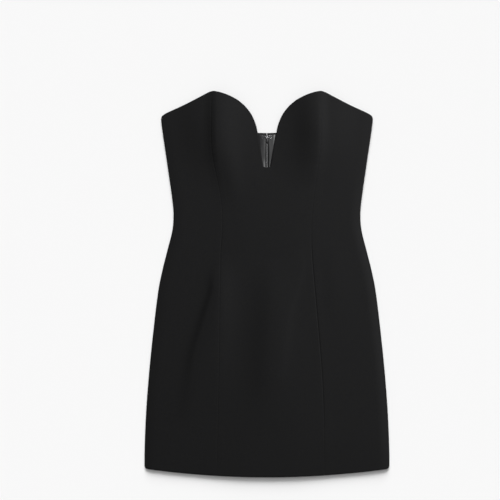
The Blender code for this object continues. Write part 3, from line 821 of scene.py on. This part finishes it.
# Front panels
# A centre panel and two side panels of the same crepe, joined by princess seams that are
# pressed open over the bust. Their top edge is faced and turned, and dips in a notch.
LEFT_SEAM = (
    (-0.3765, 0.0980), (-0.1804, 0.0942), (0.0600, 0.0905), (0.1200, 0.0872),
    (0.1700, 0.0905), (0.2623, 0.1076), (0.3765, 0.1080),
)
RIGHT_SEAM = (
    (-0.3765, 0.1130), (-0.2000, 0.1088), (-0.0300, 0.0952), (0.0600, 0.0876),
    (0.1200, 0.0872), (0.1700, 0.0915), (0.2798, 0.1050), (0.3765, 0.1036),
)
NOTCH_TOP_HALF = 0.0443
TOP_EDGE = (
    (NOTCH_TOP_HALF, 0.3491), (0.0560, 0.3587), (0.0716, 0.3670), (0.0872, 0.3728),
    (0.0989, 0.3756), (0.1060, 0.3762), (0.1145, 0.3736), (0.1300, 0.3656),
    (0.1613, 0.3500), (0.1925, 0.3360), (0.2003, 0.3319), (0.2050, 0.3280),
    (0.2076, 0.3215),
)
NOTCH_BOTTOM = 0.2272
NOTCH_RADIUS = 0.0045
NOTCH_FOOT = 0.002
NOTCH_EDGE = (
    (0.2340, 0.0074), (0.2436, 0.0092), (0.2642, 0.0122), (0.2935, 0.0178),
    (0.3091, 0.0209), (0.3286, 0.0287), (0.3403, 0.0365), (0.3491, NOTCH_TOP_HALF),
)
DOME = (
    (0.165, 0.0), (0.195, 0.0009), (0.230, 0.0036), (0.265, 0.0068), (0.305, 0.0086),
    (0.345, 0.0078), (0.377, 0.0062),
)
RIDGE = (
    (0.165, 0.0), (0.195, 0.0009), (0.230, 0.0028), (0.265, 0.0050), (0.305, 0.0062),
    (0.345, 0.0056), (0.377, 0.0040),
)
DOME_OUTER = 0.112
DOME_INNER = 0.044
RIDGE_OUTER = 0.0160
RIDGE_INNER = 0.036
RIDGE_INSET = {-1: 0.0115, 1: 0.0070}
CROWN = 0.0016
CROWN_FLAT = 0.035
CROWN_END = 0.150
LIP = -0.0006
LIP_WIDTH = 0.014
LIP_FOOT = 0.030
SIDE_TAPER = 0.048
CUP_TAPER = 0.080
CUP_FOOT = 0.170
CUP_FULL = 0.230
# Each fold's rows are: height along the dress, place of its crest, rise, reach of each flank
FOLDS = (
    (
        (0.060, -0.087, 0.0000, 0.022, 0.024), (0.000, -0.088, 0.0036, 0.024, 0.026),
        (-0.070, -0.092, 0.0046, 0.034, 0.028), (-0.130, -0.098, 0.0040, 0.044, 0.030),
        (-0.196, -0.104, 0.0020, 0.050, 0.032), (-0.260, -0.108, 0.0000, 0.050, 0.032),
    ),
    (
        (0.050, 0.014, 0.0000, 0.028, 0.034), (-0.010, 0.011, 0.0036, 0.030, 0.038),
        (-0.090, 0.006, 0.0054, 0.032, 0.042), (-0.165, 0.001, 0.0048, 0.032, 0.042),
        (-0.225, -0.002, 0.0018, 0.032, 0.040), (-0.285, -0.004, 0.0000, 0.032, 0.040),
    ),
)
# Softer creases, with the same columns
CREASES = (
    (
        (0.034, -0.1010, 0.0000, 0.0080, 0.030), (0.010, -0.1030, 0.0014, 0.0080, 0.030),
        (-0.011, -0.1045, 0.0026, 0.0085, 0.030), (-0.050, -0.1155, 0.0035, 0.0100, 0.034),
        (-0.089, -0.1270, 0.0036, 0.0110, 0.036), (-0.128, -0.1385, 0.0033, 0.0120, 0.036),
        (-0.180, -0.1455, 0.0024, 0.0140, 0.034), (-0.225, -0.1500, 0.0016, 0.0160, 0.030),
        (-0.290, -0.1530, 0.0000, 0.0180, 0.030),
    ),
    (
        (0.070, 0.068, 0.0000, 0.026, 0.009), (0.028, 0.066, 0.0010, 0.026, 0.009),
        (-0.050, 0.042, 0.0011, 0.024, 0.010), (-0.128, 0.031, 0.0010, 0.022, 0.011),
        (-0.176, 0.027, 0.0006, 0.022, 0.012), (-0.215, 0.026, 0.0000, 0.022, 0.012),
    ),
    (
        (0.300, -0.072, 0.0000, 0.020, 0.016), (0.262, -0.071, 0.0008, 0.020, 0.016),
        (0.225, -0.069, 0.0014, 0.022, 0.017), (0.185, -0.066, 0.0012, 0.022, 0.018),
        (0.140, -0.064, 0.0000, 0.022, 0.018),
    ),
    (
        (0.090, 0.132, 0.0000, 0.016, 0.030), (0.030, 0.131, 0.0009, 0.016, 0.030),
        (-0.030, 0.134, 0.0008, 0.017, 0.032), (-0.090, 0.138, 0.0000, 0.018, 0.034),
    ),
)
# How far a front panel rounds down to its side folds: the right one by its height along the dress
LEFT_ROUND = 0.0012
RIGHT_ROUND = (
    (-0.3765, 0.0012), (-0.3000, 0.0036), (-0.1000, 0.0042), (0.0500, 0.0040),
    (0.1600, 0.0026), (0.2300, 0.0012), (0.3300, 0.0012),
)
ROUND_REACH = 0.018
ROUND_CHANGE = 0.24
# How far the rims of the hem and the top edge are rounded, and how wide the top edge's turning is
TURNED_EDGE = 0.0006
TURNING = 0.003
# Half of the gap between two panels at a princess seam
PRINCESS_GAP = SEAM_GAP / 6
# How deep each princess seam sinks, by its height along the dress
LEFT_SINK = (
    (-0.3765, 0.00012), (-0.2000, 0.00018), (0.0300, 0.00026), (0.0900, 0.00030),
    (0.1500, 0.00014), (0.2500, 0.00018), (0.3765, 0.00026),
)
RIGHT_SINK = (
    (-0.3765, 0.00014), (-0.2800, 0.00020), (-0.2300, 0.00050), (0.0300, 0.00062),
    (0.0650, 0.00050), (0.1000, 0.00018), (0.2500, 0.00012), (0.3765, 0.00012),
)
SINK_WIDTH = 0.0011
PUCKER = 0.00009
PUCKER_LENGTH = 0.0105
PUCKER_REACH = 0.007
PUCKER_DRIFT = 2.1
PUCKER_DRIFT_RATE = 61.0
PUCKER_PATCH = 9.0
PUCKER_PATCH_RATE = 17.0
ALLOWANCE = 0.012
ALLOWANCE_FADE = 0.003
ALLOWANCE_RISE = 0.00009

top_edge_curve = curve_through(TOP_EDGE)
notch_flare = curve_through(NOTCH_EDGE)
dome_rise = curve_through(DOME)
ridge_rise = curve_through(RIDGE)
princess = {-1: curve_through(LEFT_SEAM), 1: curve_through(RIGHT_SEAM)}
seam_sink = {-1: curve_through(LEFT_SINK), 1: curve_through(RIGHT_SINK)}
right_round = curve_through(RIGHT_ROUND)
front_folds = read_creases(FOLDS + CREASES)


def top_edge(x):
    """Height of the front's top edge, beyond the notch."""
    return top_edge_curve(np.abs(x))


def notch_edge(y):
    """Half width of the notch, 0 below it."""
    up = np.maximum(y - NOTCH_BOTTOM, 0.0)
    round_end = np.sqrt(np.maximum(up * (2 * NOTCH_RADIUS - up), 0.0)) / NOTCH_RADIUS
    return notch_flare(y) * np.where(up < NOTCH_RADIUS, round_end, 1.0)


def front_relief(x, y):
    """Height of the front above a plain flat layer."""
    raised = CROWN * ease((CROWN_END - np.abs(x)) / (CROWN_END - CROWN_FLAT))
    for side in (-1, 1):
        off = x * side - (princess[side](y) - RIDGE_INSET[side])
        raised = raised + dome_rise(y) * bell(off, np.where(off > 0, DOME_OUTER, DOME_INNER))
        raised = raised + ridge_rise(y) * bell(off, np.where(off > 0, RIDGE_OUTER, RIDGE_INNER))
    raised = raised + crease_rise(front_folds, x, y)
    from_side = side_edge(y) - SIDE_ROLL - np.abs(x)
    cup = ease((y - CUP_FOOT) / (CUP_FULL - CUP_FOOT))
    taper = ease(from_side / (SIDE_TAPER + (CUP_TAPER - SIDE_TAPER) * cup))
    foot = ease((y - NOTCH_BOTTOM + LIP_FOOT) / LIP_FOOT)
    lip = LIP * bell(np.abs(x) - notch_flare(y) * foot, LIP_WIDTH) * foot
    off_seam = np.abs(np.where(x < 0, -x - princess[-1](y), x - princess[1](y)))
    inside_allowance = ease((ALLOWANCE + ALLOWANCE_FADE - off_seam) / (2 * ALLOWANCE_FADE))
    pressed = ALLOWANCE_RISE * inside_allowance * taper
    sink = np.where(x < 0, seam_sink[-1](y), seam_sink[1](y))
    drift = PUCKER_DRIFT * np.sin(PUCKER_DRIFT_RATE * y)
    gather = np.sin(2 * np.pi * y / PUCKER_LENGTH + drift + np.sign(x))
    patch = ease(0.5 + PUCKER_PATCH * np.sin(PUCKER_PATCH_RATE * y) ** 2)
    pressed = pressed + PUCKER * gather * bell(off_seam, PUCKER_REACH) * patch
    dip = sink * bell(off_seam, SINK_WIDTH)
    fullness = LEFT_ROUND + (right_round(y) - LEFT_ROUND) * ease(0.5 + x / ROUND_CHANGE)
    rounded = fullness * (1.0 - np.clip(1.0 - from_side / ROUND_REACH, 0.0, 1.0) ** 2)
    return taper * raised + lip + pressed + rounded - dip


def front_skin(x, y, roll, side):
    """Points and normals of the front at x, y, or round its side fold by the angle roll."""
    step = 0.0004
    slope_x = (front_relief(x + step, y) - front_relief(x - step, y)) / (2 * step)
    slope_y = (front_relief(x, y + step) - front_relief(x, y - step)) / (2 * step)
    base = SEAM_HEIGHT + SEAM_GAP / 2
    flat = np.stack([x, y, base + ROLL_HEIGHT + front_relief(x, y)], -1)
    flat_out = unit(np.stack([-slope_x, -slope_y, np.ones_like(x)], -1))
    roll = np.broadcast_to(roll, x.shape)
    round_x = side * (side_edge(y) - SIDE_ROLL + SIDE_ROLL * np.sin(roll))
    round_z = base + ROLL_HEIGHT * np.cos(roll)
    rolled = np.stack([round_x, y, round_z], -1)
    rolled_out = np.stack([side * np.sin(roll), 0 * y, np.cos(roll)], -1)
    rolled[..., 2] += front_relief(side * (side_edge(y) - SIDE_ROLL), y) * np.cos(roll)
    on_roll = (roll > 0)[..., None]
    return np.where(on_roll, rolled, flat), np.where(on_roll, rolled_out, flat_out)


CENTRE_COLUMNS = 58
LOW_ROWS = 170
HIGH_ROWS = 80
HIGH_SPREAD = 1.3
SIDE_COLUMNS = 54
low_share = np.concatenate([np.linspace(0.0, 1.0, LOW_ROWS + 1), np.ones(HIGH_ROWS)])[:, None]
high_share = np.linspace(0.0, 1.0, HIGH_ROWS + 1) ** HIGH_SPREAD
high_share = np.concatenate([np.zeros(LOW_ROWS), high_share])[:, None]


def front_rows(x_at, columns):
    """Heights of a panel's rows: even up to the foot of the notch, then up to the top edge."""
    low = meet(hem_edge, x_at, np.full(columns, -PANEL_TOP), np.zeros(columns))
    high = meet(top_edge, x_at, np.full(columns, NOTCH_BOTTOM), np.full(columns, PANEL_TOP))
    low, high = low + TURNED_EDGE, high - TURNED_EDGE
    return low + (NOTCH_BOTTOM - low) * low_share + (high - NOTCH_BOTTOM) * high_share


def turned_edges(shape):
    """How far each point of a panel's rim is rounded: most along the hem and the top edge."""
    rounding = np.full(shape, SEAMED_EDGE)
    rounding[0] = rounding[-1] = TURNED_EDGE
    return rounding


def edge_lined(skin):
    """Which of the inner points are lined: all but a turning along the top edge."""
    x, y = skin[..., 0], skin[..., 1]
    near_top = (np.abs(x) >= NOTCH_TOP_HALF) & (top_edge(x) - y <= TURNING)
    near_notch = (np.abs(x) - notch_edge(y) < TURNING) & (y > NOTCH_BOTTOM)
    return (~near_top & ~near_notch).astype(np.int32)


halves = {}
for side in (-1, 1):
    u = 1.0 - (1.0 - np.linspace(0.0, 1.0, CENTRE_COLUMNS + 1)) ** CREPE_SPREAD

    def x_at(y):
        inner = notch_edge(y) + TURNED_EDGE * ease((y - NOTCH_BOTTOM) / NOTCH_FOOT)
        return inner + (princess[side](y) - PRINCESS_GAP - inner) * u

    y = front_rows(x_at, u.shape)
    halves[side] = front_skin(side * x_at(y), y, np.zeros(1), side)
# Both halves share one column of points below the notch
left_skin, left_out = (part[:, ::-1] for part in halves[-1])
right_skin, right_out = halves[1]
left_ids = np.arange(left_skin.shape[0] * left_skin.shape[1]).reshape(left_skin.shape[:2])
right_ids = left_ids + left_ids.size
right_ids[: LOW_ROWS + 1, 0] = left_ids[: LOW_ROWS + 1, -1]
skin = np.vstack([left_skin.reshape(-1, 3), right_skin.reshape(-1, 3)])
out = np.vstack([left_out.reshape(-1, 3), right_out.reshape(-1, 3)])
faces = np.vstack([grid_faces(left_ids), grid_faces(right_ids)])
rim = np.concatenate([
    left_ids[0], right_ids[0, 1:], right_ids[1:, -1], right_ids[-1, -2::-1],
    right_ids[-2:LOW_ROWS:-1, 0], left_ids[LOW_ROWS:, -1], left_ids[-1, -2::-1],
    left_ids[-2:0:-1, 0],
])
rounding = turned_edges(left_ids.shape)
rounding[LOW_ROWS:, -1] = TURNED_EDGE
rounding = np.concatenate([rounding.reshape(-1), rounding[:, ::-1].reshape(-1)])[rim]
used, compact = np.unique(faces, return_inverse=True)
rim = np.searchsorted(used, rim)
skin, out, faces = skin[used], out[used], compact.reshape(-1, 4)
lined = edge_lined(skin)[faces[:, 0]]
centre = add_shell(
    "centre_front", skin, out, faces, rim, CREPE_THICK, rounding, [crepe, satin], lined
)
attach(centre, "dress")
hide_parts("front_centre")

for side, end in ((-1, "left"), (1, "right")):
    across = np.linspace(0.0, 1.0, SIDE_COLUMNS + 1) ** CREPE_SPREAD
    turn = np.linspace(0.0, np.pi / 2, ROLL_COLUMNS + 1)[1:]
    u = np.concatenate([across, np.ones(ROLL_COLUMNS)])
    roll = np.concatenate([np.zeros(SIDE_COLUMNS + 1), turn])

    def x_at(y):
        inner = princess[side](y) + PRINCESS_GAP
        return inner + (side_edge(y) - SIDE_ROLL - inner) * u + SIDE_ROLL * np.sin(roll)

    y = front_rows(x_at, u.shape)
    skin, out = front_skin(side * x_at(y), y, roll, side)
    lined = edge_lined(skin)
    rounding = turned_edges(lined.shape)
    panel = add_grid_shell(
        "side_front_" + end, skin, out, CREPE_THICK, rounding, [crepe, satin], lined
    )
    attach(panel, "dress")
    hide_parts("front_side_" + end)


# Camera, light and floor
# The dress lies on a plain white floor, seen from straight above. A soft panel up to its right
# lights the crepe, a higher one the inside that shows in the notch, and two suns the floor.
camera_data = bpy.data.cameras.new("camera")
camera_data.lens = 85.0
camera_data.sensor_width = 36.0
camera = bpy.data.objects.new("camera", camera_data)
camera.location = (-0.0331, 0.067, 2.309)
bpy.context.scene.collection.objects.link(camera)
bpy.context.scene.camera = camera

floor_paint, floor_shader = add_finish("floor_paint", (0.86, 0.86, 0.86), 0.9)
floor_shader.inputs["Specular IOR Level"].default_value = 0.0
floor_mesh = bpy.data.meshes.new("floor")
floor_half = 4.0
floor_corners = box_outline(-floor_half, floor_half, -floor_half, floor_half)
floor_mesh.from_pydata([(x, y, 0.0) for x, y in floor_corners], [], [(0, 1, 2, 3)])
floor_mesh.materials.append(floor_paint)
floor = bpy.data.objects.new("floor", floor_mesh)
bpy.context.scene.collection.objects.link(floor)
floor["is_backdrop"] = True

lit_floor = bpy.data.collections.new("lit_floor")
lit_floor.objects.link(floor)
lit_crepe = bpy.data.collections.new("lit_crepe")
lit_inside = bpy.data.collections.new("lit_inside")
for piece in bpy.context.scene.objects:
    if piece.type == "MESH" and piece is not floor:
        outside = piece.data.materials[0] is crepe
        (lit_crepe if outside else lit_inside).objects.link(piece)


def add_light(name, kind, power, towards, receivers):
    """A light that looks at the dress from a place, and lights one collection."""
    data = bpy.data.lights.new(name, kind)
    data.energy = power
    light = bpy.data.objects.new(name, data)
    light.location = towards
    light.rotation_euler = Vector(towards).to_track_quat("Z", "Y").to_euler()
    light.light_linking.receiver_collection = receivers
    bpy.context.scene.collection.objects.link(light)
    return data


key = add_light("key_panel", "AREA", 251.0, (2.25, 1.79, 1.80), lit_crepe)
key.size = 1.2
inner_key = add_light("inner_key_panel", "AREA", 118.0, (1.71, 1.36, 2.60), lit_inside)
inner_key.size = 0.9
top = add_light("top_light", "SUN", 5.2, (0.0, 1.82, 0.85), lit_floor)
top.angle = math.radians(36.0)
over = add_light("over_light", "SUN", 0.68, (0.0, 0.85, 1.82), lit_floor)
over.angle = math.radians(50.0)
world = bpy.data.worlds.new("studio")
world.use_nodes = True
background = world.node_tree.nodes["Background"]
background.inputs["Color"].default_value = (1.0, 1.0, 1.0, 1.0)
background.inputs["Strength"].default_value = 0.20
bpy.context.scene.world = world
bpy.context.scene.view_settings.view_transform = "Standard"

low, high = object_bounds()
